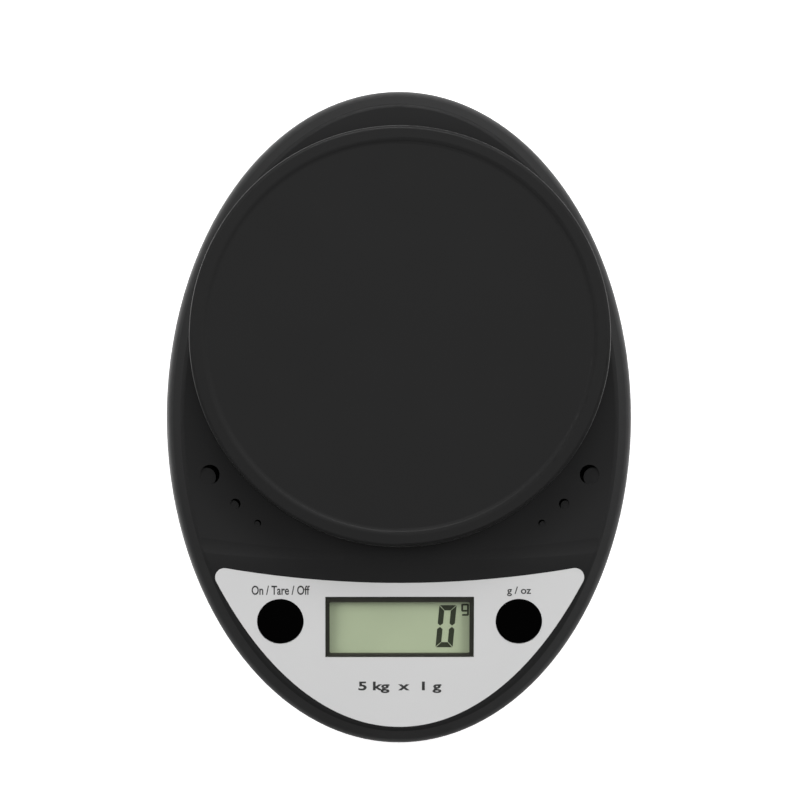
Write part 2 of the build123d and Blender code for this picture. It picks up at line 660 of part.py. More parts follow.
# ---------------------------------------------------------------- screws
def screw_set(spots, head_bottom, head_radius, head_height, shaft_radius, tip, recess):
    """Upright screws with their heads down: pan head with a cross recess, and a plain shank."""
    with BuildPart() as screws:
        with BuildSketch(Plane.XY.offset(head_bottom)):
            with Locations(*spots):
                Circle(head_radius)
        extrude(amount=head_height)
        fillet(screws.edges().group_by(Axis.Z)[0], 0.3 * head_height)
        with BuildSketch(Plane.XY.offset(head_bottom + head_height)):
            with Locations(*spots):
                Circle(shaft_radius)
        extrude(amount=tip - head_bottom - head_height)
        with BuildSketch(Plane.XY.offset(head_bottom)):
            with Locations(*spots):
                Rectangle(recess, recess / 4)
                Rectangle(recess / 4, recess)
        extrude(amount=head_height / 2, mode=Mode.SUBTRACT)
    return screws.part


with BuildPart() as housing_screws:
    add(
        screw_set(
            both_sides(HOUSING_SCREWS),
            head_bottom=HEAD_SEAT - 2.0,
            head_radius=HEAD_RADIUS,
            head_height=2.0,
            shaft_radius=SCREW_RADIUS,
            tip=HOUSING_SCREW_TIP,
            recess=3.0,
        )
    )
housing_screws.part.label = "housing_screws"
export_step(housing_screws.part, "parts/housing_screws.step")

with BuildPart() as load_cell_base_screws:
    add(
        screw_set(
            cell_fixed_screws,
            head_bottom=CELL_HEAD_SEAT - 1.8,
            head_radius=CELL_HEAD_RADIUS,
            head_height=1.8,
            shaft_radius=CELL_SCREW_RADIUS,
            tip=CELL_BOTTOM + 5.0,
            recess=4.0,
        )
    )
load_cell_base_screws.part.label = "load_cell_base_screws"
export_step(load_cell_base_screws.part, "parts/load_cell_base_screws.step")

with BuildPart() as overload_stop_screws:
    with BuildSketch(Plane.XY.offset(STOP_POST_TOP - 8.0)):
        with Locations(*both_sides(STOPS)):
            Circle(STOP_SCREW_RADIUS)
    extrude(amount=STOP_SCREW_TOP - STOP_POST_TOP + 8.0)
    with BuildSketch(Plane.XY.offset(STOP_SCREW_TOP - 1.2)):
        with Locations(*both_sides(STOPS)):
            RegularPolygon(0.85, 6)
    extrude(amount=1.2, mode=Mode.SUBTRACT)
overload_stop_screws.part.label = "overload_stop_screws"
export_step(overload_stop_screws.part, "parts/overload_stop_screws.step")

# ---------------------------------------------------------------- load cell
BORE_RADIUS = 4.75
BORE_X = 7.5
BORE_WEB = 3.0
GAUGE_SIZE = (5.0, 3.4)
GAUGE_THICKNESS = 0.1
COATING_THICKNESS = 0.6
COATING_SIDE = 2.4
COATING_HALF_X = 13.0
cell_middle_z = CELL_BOTTOM + CELL_SIDE / 2

with BuildPart() as load_cell:
    with BuildSketch(Plane.XY.offset(CELL_BOTTOM)):
        with Locations((0, PLATFORM_Y)):
            Rectangle(CELL_LENGTH, CELL_SIDE)
    extrude(amount=CELL_SIDE)
    chamfer(load_cell.edges().filter_by(Axis.Z), 0.5)
    # double bore joined by a slot, which lets the two ends shift without twisting
    with BuildSketch(Plane.XZ.offset(-PLATFORM_Y)):
        with Locations((-BORE_X, cell_middle_z), (BORE_X, cell_middle_z)):
            Circle(BORE_RADIUS)
        with Locations((0, cell_middle_z)):
            Rectangle(2 * BORE_X, BORE_WEB)
    extrude(amount=CELL_SIDE, both=True, mode=Mode.SUBTRACT)
    with BuildSketch(Plane.XY.offset(CELL_BOTTOM)):
        with Locations(*cell_fixed_screws):
            Circle(CELL_SCREW_RADIUS)
    extrude(amount=5.0, mode=Mode.SUBTRACT)
    with BuildSketch(Plane.XY.offset(CELL_TOP)):
        with Locations(*cell_live_screws):
            Circle(CELL_SCREW_RADIUS)
    extrude(amount=-5.0, mode=Mode.SUBTRACT)
load_cell.part.label = "load_cell"
export_step(load_cell.part, "parts/load_cell.step")

with BuildPart() as strain_gauges:
    for height, step in ((CELL_TOP, GAUGE_THICKNESS), (CELL_BOTTOM, -GAUGE_THICKNESS)):
        with BuildSketch(Plane.XY.offset(height)):
            with Locations((-BORE_X, PLATFORM_Y), (BORE_X, PLATFORM_Y)):
                Rectangle(*GAUGE_SIZE)
        extrude(amount=step)
strain_gauges.part.label = "strain_gauges"
export_step(strain_gauges.part, "parts/strain_gauges.step")

with BuildPart() as gauge_coating:
    with BuildSketch(Plane.XY.offset(CELL_BOTTOM - COATING_THICKNESS)):
        with Locations((0, PLATFORM_Y - COATING_SIDE / 2)):
            RectangleRounded(2 * COATING_HALF_X, CELL_SIDE + COATING_SIDE - 2.0, 2.0)
    extrude(amount=CELL_SIDE + 2 * COATING_THICKNESS)
    fillet(gauge_coating.edges().group_by(Axis.Z)[-1], 0.3)
    with BuildSketch(Plane.XY.offset(CELL_BOTTOM)):
        with Locations((0, PLATFORM_Y)):
            Rectangle(CELL_LENGTH, CELL_SIDE)
    extrude(amount=CELL_SIDE, mode=Mode.SUBTRACT)
    add(strain_gauges.part, mode=Mode.SUBTRACT)
gauge_coating.part.label = "gauge_coating"
export_step(gauge_coating.part, "parts/gauge_coating.step")

with BuildPart() as load_cell_spacer:
    with BuildSketch(Plane.XY.offset(CELL_PEDESTAL_TOP)):
        with Locations((CELL_FIXED_X, PLATFORM_Y)):
            Rectangle(18.0, CELL_SIDE)
        with Locations(*cell_fixed_screws):
            Circle(CELL_SCREW_RADIUS + 0.15, mode=Mode.SUBTRACT)
    extrude(amount=CELL_BOTTOM - CELL_PEDESTAL_TOP)
load_cell_spacer.part.label = "load_cell_spacer"
export_step(load_cell_spacer.part, "parts/load_cell_spacer.step")

# ---------------------------------------------------------------- platform and its carrier
PEGS = [(x, y) for x in (-22.0, 22.0) for y in (-13.0, 13.0)]       # about the platform's centre
PEG_RADIUS = 2.5
PEG_BOTTOM = 24.4
PEG_SHOULDER_RADIUS = 4.5
GROMMET_RADIUS = 4.0
GROMMET_FLANGE_RADIUS = 5.0
GROMMET_TOP = 29.6
SOCKET_RADIUS = 5.2
SOCKET_TOP = 29.0
CARRIER_SIZE = (60.0, 38.0)
CARRIER_ARM = (26.0, 41.0)      # the arm over the live end of the load cell, from x to x
CARRIER_RIB_TOP = 26.5

PLATE_UNDER = 35.1
RECESS_RADIUS = 62.1            # flat middle of the platform
CREASE_OUTER = 63.3
CREASE_SOFTENING = 2.4
RECESS_DEPTH = 0.5
RIM_FALL = 0.25
PLATFORM_TOP_RADIUS = 67.6
EDGE_SOFTENING = 1.3
SKIRT_THICKNESS = 1.8
SKIRT_SOFTENING = 0.5
RIB_THICKNESS = 1.4
RIB_BOTTOM = 31.8
RIB_COUNT = 12
RIB_LENGTH = PLATFORM_RADIUS - 2.4
RING_RADIUS = 46.5

platform_pegs = [(x, PLATFORM_Y + y) for x, y in PEGS]
recess_z = TOTAL_HEIGHT - RECESS_DEPTH
rim_z = TOTAL_HEIGHT - RIM_FALL

with BuildPart() as platform:
    # dished plate with a soft crease, a rim that falls outwards, and a drafted edge
    with BuildSketch(Plane.XZ.offset(-PLATFORM_Y)) as profile:
        with BuildLine():
            Polyline(
                (0, PLATE_UNDER),
                (0, recess_z),
                (RECESS_RADIUS, recess_z),
                (CREASE_OUTER, TOTAL_HEIGHT),
                (PLATFORM_TOP_RADIUS, rim_z),
                (PLATFORM_RADIUS, PLATFORM_BOTTOM),
                (PLATFORM_RADIUS - SKIRT_THICKNESS, PLATFORM_BOTTOM),
                (PLATFORM_TOP_RADIUS - SKIRT_THICKNESS, PLATE_UNDER),
                (0, PLATE_UNDER),
            )
        make_face()
        crease = profile.vertices().filter_by(lambda v: v.X in (RECESS_RADIUS, CREASE_OUTER))
        fillet(crease, CREASE_SOFTENING)
        fillet(profile.vertices().filter_by(lambda v: v.X == PLATFORM_TOP_RADIUS), EDGE_SOFTENING)
        fillet(profile.vertices().group_by(Axis.Y)[0], SKIRT_SOFTENING)
    revolve(axis=Axis((0, PLATFORM_Y, 0), (0, 0, 1)))
    # ring, ribs and pegs on the underside
    with BuildSketch(Plane.XY.offset(RIB_BOTTOM)):
        with Locations((0, PLATFORM_Y)):
            Circle(RING_RADIUS + RIB_THICKNESS)
            Circle(RING_RADIUS, mode=Mode.SUBTRACT)
            with PolarLocations(RIB_LENGTH / 2, RIB_COUNT):
                Rectangle(RIB_LENGTH, RIB_THICKNESS)
    extrude(amount=PLATE_UNDER - RIB_BOTTOM)
    with BuildSketch(Plane.XY.offset(GROMMET_TOP)):
        with Locations(*platform_pegs):
            Circle(PEG_SHOULDER_RADIUS)
    extrude(amount=PLATE_UNDER - GROMMET_TOP)
    with BuildSketch(Plane.XY.offset(PEG_BOTTOM)):
        with Locations(*platform_pegs):
            Circle(PEG_RADIUS)
    extrude(amount=PLATE_UNDER - PEG_BOTTOM)
platform.part.label = "platform"
export_step(platform.part, "parts/platform.step")

with BuildPart() as platform_carrier:
    with BuildSketch(Plane.XY.offset(CARRIER_BOTTOM)):
        with Locations((0, PLATFORM_Y)):
            RectangleRounded(*CARRIER_SIZE, 6.0)
        with Locations((sum(CARRIER_ARM) / 2, PLATFORM_Y)):
            RectangleRounded(CARRIER_ARM[1] - CARRIER_ARM[0], 16.0, 3.0)
        with Locations(*cell_live_screws):
            Circle(CELL_SCREW_RADIUS + 0.15, mode=Mode.SUBTRACT)
    extrude(amount=CARRIER_TOP - CARRIER_BOTTOM)
    # stiffening ribs between the sockets
    with BuildSketch(Plane.XY.offset(CARRIER_TOP)):
        with Locations((0, PLATFORM_Y - PEGS[1][1]), (0, PLATFORM_Y + PEGS[1][1])):
            Rectangle(2 * PEGS[-1][0], 1.6)
        with Locations((PEGS[0][0], PLATFORM_Y), (14.0, PLATFORM_Y)):
            Rectangle(1.6, 2 * PEGS[1][1])
    extrude(amount=CARRIER_RIB_TOP - CARRIER_TOP)
    with BuildSketch(Plane.XY.offset(CARRIER_TOP)):
        with Locations(*platform_pegs):
            Circle(SOCKET_RADIUS)
    extrude(amount=SOCKET_TOP - CARRIER_TOP)
    with BuildSketch(Plane.XY.offset(CARRIER_TOP)):
        with Locations(*platform_pegs):
            Circle(GROMMET_RADIUS)
    extrude(amount=SOCKET_TOP - CARRIER_TOP, mode=Mode.SUBTRACT)
platform_carrier.part.label = "platform_carrier"
export_step(platform_carrier.part, "parts/platform_carrier.step")

with BuildPart() as platform_grommets:
    with BuildSketch(Plane.XY.offset(CARRIER_TOP)):
        with Locations(*platform_pegs):
            Circle(GROMMET_RADIUS)
    extrude(amount=SOCKET_TOP - CARRIER_TOP)
    with BuildSketch(Plane.XY.offset(SOCKET_TOP)):
        with Locations(*platform_pegs):
            Circle(GROMMET_FLANGE_RADIUS)
    extrude(amount=GROMMET_TOP - SOCKET_TOP)
    with BuildSketch(Plane.XY.offset(PEG_BOTTOM)):
        with Locations(*platform_pegs):
            Circle(PEG_RADIUS)
    extrude(amount=GROMMET_TOP - PEG_BOTTOM, mode=Mode.SUBTRACT)
platform_grommets.part.label = "platform_grommets"
export_step(platform_grommets.part, "parts/platform_grommets.step")

with BuildPart() as carrier_spacer:
    with BuildSketch(Plane.XY.offset(CELL_TOP)):
        with Locations((CELL_LIVE_X, PLATFORM_Y)):
            Rectangle(18.0, CELL_SIDE)
        with Locations(*cell_live_screws):
            Circle(CELL_SCREW_RADIUS + 0.15, mode=Mode.SUBTRACT)
    extrude(amount=CARRIER_BOTTOM - CELL_TOP)
carrier_spacer.part.label = "carrier_spacer"
export_step(carrier_spacer.part, "parts/carrier_spacer.step")

with BuildPart() as carrier_screws:
    with BuildSketch(Plane.XY.offset(CARRIER_TOP)):
        with Locations(*cell_live_screws):
            Circle(CELL_HEAD_RADIUS)
    extrude(amount=2.2)
    fillet(carrier_screws.edges().group_by(Axis.Z)[-1], 0.6)
    with BuildSketch(Plane.XY.offset(CELL_TOP - 5.0)):
        with Locations(*cell_live_screws):
            Circle(CELL_SCREW_RADIUS)
    extrude(amount=CARRIER_TOP - CELL_TOP + 5.0)
    with BuildSketch(Plane.XY.offset(CARRIER_TOP + 1.0)):
        with Locations(*cell_live_screws):
            Rectangle(4.0, 1.0)
            Rectangle(1.0, 4.0)
    extrude(amount=1.2, mode=Mode.SUBTRACT)
carrier_screws.part.label = "carrier_screws"
export_step(carrier_screws.part, "parts/carrier_screws.step")

# ---------------------------------------------------------------- batteries and contacts
NUB_RADIUS = 2.75
NUB_LENGTH = 1.0
CONTACT_X = BAY_HALF_X - CONTACT_THICKNESS
CONTACT_SIZE = (11.0, 11.0)
SPRING_WIRE = 0.3
SPRING_RADIUS = (4.2, 2.6)
SPRING_TURNS = 4

# (name, y, side of the positive end)
BATTERIES = [("front", BATTERY_FRONT_Y, -1), ("rear", BATTERY_REAR_Y, 1)]
spring_length = 2 * CONTACT_X - BATTERY_LENGTH

for name, battery_y, plus in BATTERIES:
    plus_x = plus * CONTACT_X
    with BuildPart() as battery:
        with BuildSketch(Plane.YZ.offset(plus_x - plus * NUB_LENGTH)):
            with Locations((battery_y, BATTERY_Z)):
                Circle(BATTERY_RADIUS)
        extrude(amount=-plus * (BATTERY_LENGTH - NUB_LENGTH))
        fillet(battery.edges(), 0.6)
        with BuildSketch(Plane.YZ.offset(plus_x - plus * NUB_LENGTH)):
            with Locations((battery_y, BATTERY_Z)):
                Circle(NUB_RADIUS)
        extrude(amount=plus * NUB_LENGTH)
    battery.part.label = "battery_" + name
    export_step(battery.part, f"parts/battery_{name}.step")

    # conical coil spring between the contact and the flat end of the cell
    minus_x = -plus * CONTACT_X
    coil_length = spring_length - 4 * SPRING_WIRE
    with BuildPart() as battery_spring:
        with BuildLine() as coil:
            Helix(
                pitch=coil_length / SPRING_TURNS,
                height=coil_length,
                radius=SPRING_RADIUS[0],
                center=(minus_x + plus * 2 * SPRING_WIRE, battery_y, BATTERY_Z),
                direction=(plus, 0, 0),
                cone_angle=-degrees(atan((SPRING_RADIUS[0] - SPRING_RADIUS[1]) / coil_length)),
            )
        with BuildSketch(Plane(origin=coil.line @ 0, z_dir=coil.line % 0)):
            Circle(SPRING_WIRE)
        sweep()
    battery_spring.part.label = "battery_spring_" + name
    export_step(battery_spring.part, f"parts/battery_spring_{name}.step")

with BuildPart() as battery_contact_plates:
    with BuildSketch(Plane.YZ.offset(-BAY_HALF_X)):
        with Locations((BATTERY_FRONT_Y, BATTERY_Z), (BATTERY_REAR_Y, BATTERY_Z)):
            RectangleRounded(*CONTACT_SIZE, 1.0)
    extrude(amount=CONTACT_THICKNESS)
    with BuildSketch(Plane.XY.offset(TAB_Z)):
        with Locations((-BAY_HALF_X, BATTERY_FRONT_Y), (-BAY_HALF_X, BATTERY_REAR_Y)):
            with Locations((-(BAY_WALL + TAB_REACH) / 2, 0)):
                Rectangle(BAY_WALL + TAB_REACH, TAB_WIDTH)
    extrude(amount=CONTACT_THICKNESS)
battery_contact_plates.part.label = "battery_contact_plates"
export_step(battery_contact_plates.part, "parts/battery_contact_plates.step")

with BuildPart() as battery_bridge_plate:
    with BuildSketch(Plane.YZ.offset(CONTACT_X)):
        with Locations(((BATTERY_FRONT_Y + BATTERY_REAR_Y) / 2, BATTERY_Z)):
            RectangleRounded(BATTERY_REAR_Y - BATTERY_FRONT_Y + CONTACT_SIZE[0], CONTACT_SIZE[1], 1.0)
    extrude(amount=CONTACT_THICKNESS)
battery_bridge_plate.part.label = "battery_bridge_plate"
export_step(battery_bridge_plate.part, "parts/battery_bridge_plate.step")

# ---------------------------------------------------------------- battery door
FINGER_THICKNESS = 0.9
FINGER_FOOT_Y = BAY_REAR_Y - 0.3 - FINGER_THICKNESS
FINGER_TOP = 8.0
NOSE_TOP = 5.0
NOSE_SLOPE_TOP = 6.2
GRIP_RIBS = 5
PAD_SIZE = (40.0, 22.0)
PAD_TOP = 4.7

with BuildPart() as battery_door:
    with BuildSketch(Plane.XY.offset(FLOOR_BOTTOM)):
        with Locations((0, bay_middle_y)):
            Rectangle(2 * (BAY_HALF_X - FIT), bay_depth - 2 * FIT)
    extrude(amount=WALL)
    chamfer(battery_door.faces().sort_by(Axis.Z)[0].edges(), 0.4)
    # two tongues that hook over the floor at the front, on short risers
    for x in (-TONGUE_X, TONGUE_X):
        with BuildSketch(Plane.XY.offset(TONGUE_BOTTOM)):
            with Locations((x, BAY_FRONT_Y - TONGUE_REACH)):
                Rectangle(TONGUE_WIDTH, TONGUE_REACH + 1.4, align=(Align.CENTER, Align.MIN))
        extrude(amount=TONGUE_TOP - TONGUE_BOTTOM)
        with BuildSketch(Plane.XY.offset(FLOOR_TOP - 0.5)):
            with Locations((x, BAY_FRONT_Y + FIT)):
                Rectangle(TONGUE_WIDTH, 1.4 - FIT, align=(Align.CENTER, Align.MIN))
        extrude(amount=TONGUE_TOP - FLOOR_TOP + 0.5)
    # raised grip ribs under the thumb, within the thickness of the feet
    with BuildSketch(Plane.XY.offset(FLOOR_BOTTOM)):
        with Locations((0, BAY_REAR_Y - 6.0)):
            with GridLocations(0, 1.8, 1, GRIP_RIBS):
                SlotOverall(12.0, 0.8)
    extrude(amount=-0.4)
battery_door.part.label = "battery_door"
export_step(battery_door.part, "parts/battery_door.step")

with BuildPart() as door_latch_finger:
    # springy strip that rises from the door's back edge, with a nose that hooks over the floor
    with BuildSketch(Plane.YZ.offset(-LATCH_WIDTH / 2)):
        with BuildLine():
            Polyline(
                (FINGER_FOOT_Y, FLOOR_TOP),
                (FINGER_FOOT_Y, FINGER_TOP),
                (FINGER_FOOT_Y + FINGER_THICKNESS, FINGER_TOP),
                (FINGER_FOOT_Y + FINGER_THICKNESS, NOSE_SLOPE_TOP),
                (BAY_REAR_Y + LATCH_NOSE, NOSE_TOP),
                (BAY_REAR_Y + LATCH_NOSE, FLOOR_TOP + 0.1),
                (FINGER_FOOT_Y + FINGER_THICKNESS, FLOOR_TOP + 0.1),
                (FINGER_FOOT_Y + FINGER_THICKNESS, FLOOR_TOP),
                (FINGER_FOOT_Y, FLOOR_TOP),
            )
        make_face()
    extrude(amount=LATCH_WIDTH)
door_latch_finger.part.label = "door_latch_finger"
export_step(door_latch_finger.part, "parts/door_latch_finger.step")

with BuildPart() as door_foam_pad:
    with BuildSketch(Plane.XY.offset(FLOOR_TOP)):
        with Locations((0, bay_middle_y)):
            RectangleRounded(*PAD_SIZE, 2.0)
    extrude(amount=PAD_TOP - FLOOR_TOP)
door_foam_pad.part.label = "door_foam_pad"
export_step(door_foam_pad.part, "parts/door_foam_pad.step")

# ---------------------------------------------------------------- leads
LEAD_RADIUS = 0.55
LEAD_PITCH = 2.0
LEAD_FIRST_X = 6.0
LEAD_PAD_Y = 10.0               # along the panel, on the underside of the circuit board


def corner_radii(points):
    """Arc radius at each inner point: as large as its two runs allow."""
    radii = []
    for before, corner, after in zip(points, points[1:], points[2:]):
        run_in = Vector(*corner) - Vector(*before)
        run_out = Vector(*after) - Vector(*corner)
        half_turn = radians(run_in.get_angle(run_out)) / 2
        radii.append(0.45 * min(run_in.length, run_out.length) / tan(half_turn))
    return radii


def board_pad(x):
    """Place on the underside of the circuit board where a lead is soldered, and a point under it."""
    pad_plane = panel_plane(depth=PCB_BOTTOM)
    pad = pad_plane.from_local_coords((x, LEAD_PAD_Y, 0))
    below = pad_plane.from_local_coords((x, LEAD_PAD_Y, -3.6))
    return tuple(pad), tuple(below)


def lead(points):
    """A wire along straight runs joined by tangent arcs."""
    with BuildPart() as wire:
        with BuildLine() as route:
            FilletPolyline(*points, radius=corner_radii(points))
        with BuildSketch(Plane(origin=route.line @ 0, z_dir=route.line % 0)):
            Circle(LEAD_RADIUS)
        sweep()
    route_length = route.wire().length
    expected = pi * LEAD_RADIUS**2 * route_length
    print(
        "lead", round(route_length, 1), "mm, radii",
        [round(radius, 1) for radius in corner_radii(points)],
        "volume ratio", round(wire.part.volume / expected, 4),
    )
    return wire.part


coating_front_y = PLATFORM_Y - COATING_SIDE / 2 - (CELL_SIDE + COATING_SIDE - 2.0) / 2
for index, colour in enumerate(("red", "black", "green", "white")):
    lead_x = LEAD_FIRST_X + index * LEAD_PITCH
    pad, below_pad = board_pad(lead_x + 6.0)
    cell_lead_route = [
        (lead_x - 8.0, coating_front_y, 12.0),
        (lead_x - 8.0, coating_front_y - 5.0, 12.0),
        (lead_x - 6.0, 5.0, 6.4),
        (lead_x - 3.0, -8.0, 5.2),
        (lead_x + 1.0, -23.0, 5.6),
        (lead_x + 4.0, -37.0, 5.4),
        (lead_x + 6.0, below_pad[1] + 5.5, 6.4),
        below_pad,
        pad,
    ]
    with BuildPart() as load_cell_lead:
        add(lead(cell_lead_route))
    load_cell_lead.part.label = "load_cell_lead_" + colour
    export_step(load_cell_lead.part, f"parts/load_cell_lead_{colour}.step")

tab_end_x = -BAY_HALF_X - BAY_WALL - TAB_REACH
for index, (colour, tab_y) in enumerate((("red", BATTERY_FRONT_Y), ("black", BATTERY_REAR_Y))):
    shift = 2.4 * index
    pad, below_pad = board_pad(-17.0 - shift)
    battery_lead_route = [
        (tab_end_x, tab_y, TAB_Z + CONTACT_THICKNESS / 2),
        (tab_end_x - 6.0 - shift, tab_y, TAB_Z + CONTACT_THICKNESS / 2),
        (-47.0 - shift, 45.0, 10.0),
        (-50.0 - shift, 29.0, 6.4),
        (-51.0 - shift, 12.0, 5.6),
        (-49.0 - shift, -6.0, 5.4),
        (-43.0 - shift, -24.0, 5.6),
        (-32.0 - shift, -37.0, 5.4),
        (-21.0 - shift, below_pad[1] + 5.0, 6.4),
        below_pad,
        pad,
    ]
    with BuildPart() as battery_lead:
        add(lead(battery_lead_route))
    battery_lead.part.label = "battery_lead_" + colour
    export_step(battery_lead.part, f"parts/battery_lead_{colour}.step")
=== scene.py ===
import json
from math import radians, tan

import bpy
import bmesh
from mathutils import Matrix, Vector


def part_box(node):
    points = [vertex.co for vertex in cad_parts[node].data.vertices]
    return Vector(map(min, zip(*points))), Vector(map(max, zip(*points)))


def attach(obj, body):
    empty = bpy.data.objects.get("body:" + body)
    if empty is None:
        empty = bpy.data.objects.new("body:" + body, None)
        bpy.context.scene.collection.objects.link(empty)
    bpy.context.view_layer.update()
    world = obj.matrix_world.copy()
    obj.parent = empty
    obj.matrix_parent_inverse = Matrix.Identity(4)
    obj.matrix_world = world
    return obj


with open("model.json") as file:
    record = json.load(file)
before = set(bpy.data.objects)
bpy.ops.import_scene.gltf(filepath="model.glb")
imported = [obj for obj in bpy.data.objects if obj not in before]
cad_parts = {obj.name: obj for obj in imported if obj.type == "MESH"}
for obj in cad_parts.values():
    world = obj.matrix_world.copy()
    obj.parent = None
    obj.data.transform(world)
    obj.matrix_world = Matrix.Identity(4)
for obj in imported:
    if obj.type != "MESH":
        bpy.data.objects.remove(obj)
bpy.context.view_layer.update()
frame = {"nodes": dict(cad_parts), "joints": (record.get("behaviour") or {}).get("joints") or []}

# A compact digital portion scale, seen from straight above. The CAD nodes keep their shapes and get
# procedural materials here; the display's characters and the print on the panel are modelled here.
# Lengths are in metres.
MM = 0.001

# ---------------------------------------------------------------- driving sizes
PRINT_THICKNESS = 0.02 * MM         # raised ink on the panel sheet
CHARACTER_THICKNESS = 0.02 * MM     # liquid crystal characters on the glass
CHARACTER_CENTRE = (15.1 * MM, -0.45 * MM)
CHARACTER_SIZE = (5.6 * MM, 14.2 * MM)
CHARACTER_STROKE = 1.75 * MM
CHARACTER_GAP = 0.2 * MM
CHARACTER_SLANT = radians(5.0)
UNIT_CENTRE = (21.25 * MM, 5.1 * MM)
UNIT_SIZE = (2.5 * MM, 4.1 * MM)
UNIT_STROKE = 0.62 * MM
POWER_LABEL_SIZE = (18.8 * MM, 3.1 * MM)
UNIT_LABEL_SIZE = (7.8 * MM, 3.2 * MM)
CAPACITY_LABEL_SIZE = (27.0 * MM, 3.9 * MM)
LABEL_BOLDNESS = 0.018              # in parts of the type size
CAPACITY_BOLDNESS = 0.03
LABEL_RISE = 10.05 * MM             # from a button's middle to its label
CAPACITY_DROP = 20.0 * MM           # from the display's middle to the capacity line
LENS_HALF_THICKNESS = 0.4 * MM
LENS_DEPTH = 0.1 * MM               # how far the window lies under the panel's face
GLASS_HALF_THICKNESS = 1.1 * MM

CAMERA_DISTANCE = 1.494
CAMERA_LEAN = -0.016                # how far the camera stands to the left of its target
CAMERA_TARGET = Vector((0.0003, 0.0056, 0.004))
VIEW_WIDTH = 0.2623                 # width that the camera sees at the target
SENSOR = 36.0                       # width of the sensor, in millimetres

FLOOR_HALF = 3.0
FLOOR_WHITE = (0.85, 0.85, 0.85)
FLOOR_GLOW = 0.75
# greys of the surroundings by height, from straight down (0) to straight up (1)
STUDIO_GREYS = [(0.0, 1.5), (0.15, 1.3), (0.25, 0.42), (0.33, 0.22), (0.45, 0.2), (0.6, 0.3), (1.0, 0.48)]


def middle(node):
    """Centre of a CAD node's box."""
    low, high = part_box(node)
    return (Vector(low) + Vector(high)) / 2


# The panel's outward normal is opposite to the way its buttons are pressed.
press_axis = next(j["axis"] for j in frame["joints"] if j["name"] == "left_button_press")
PANEL_NORMAL = -Vector(press_axis)
PANEL_RIGHT = Vector((1.0, 0.0, 0.0))
PANEL_UP = PANEL_NORMAL.cross(PANEL_RIGHT)
panel_origin = middle("display_lens") + PANEL_NORMAL * (LENS_HALF_THICKNESS + LENS_DEPTH)
glass_origin = middle("lcd_glass") + PANEL_NORMAL * GLASS_HALF_THICKNESS


def panel_matrix(origin, x, y):
    """Placement of a flat piece that lies parallel to the panel, x and y from the given origin."""
    place = origin + PANEL_RIGHT * x + PANEL_UP * y
    axes = Matrix((PANEL_RIGHT, PANEL_UP, PANEL_NORMAL)).transposed()
    return Matrix.Translation(place) @ axes.to_4x4()


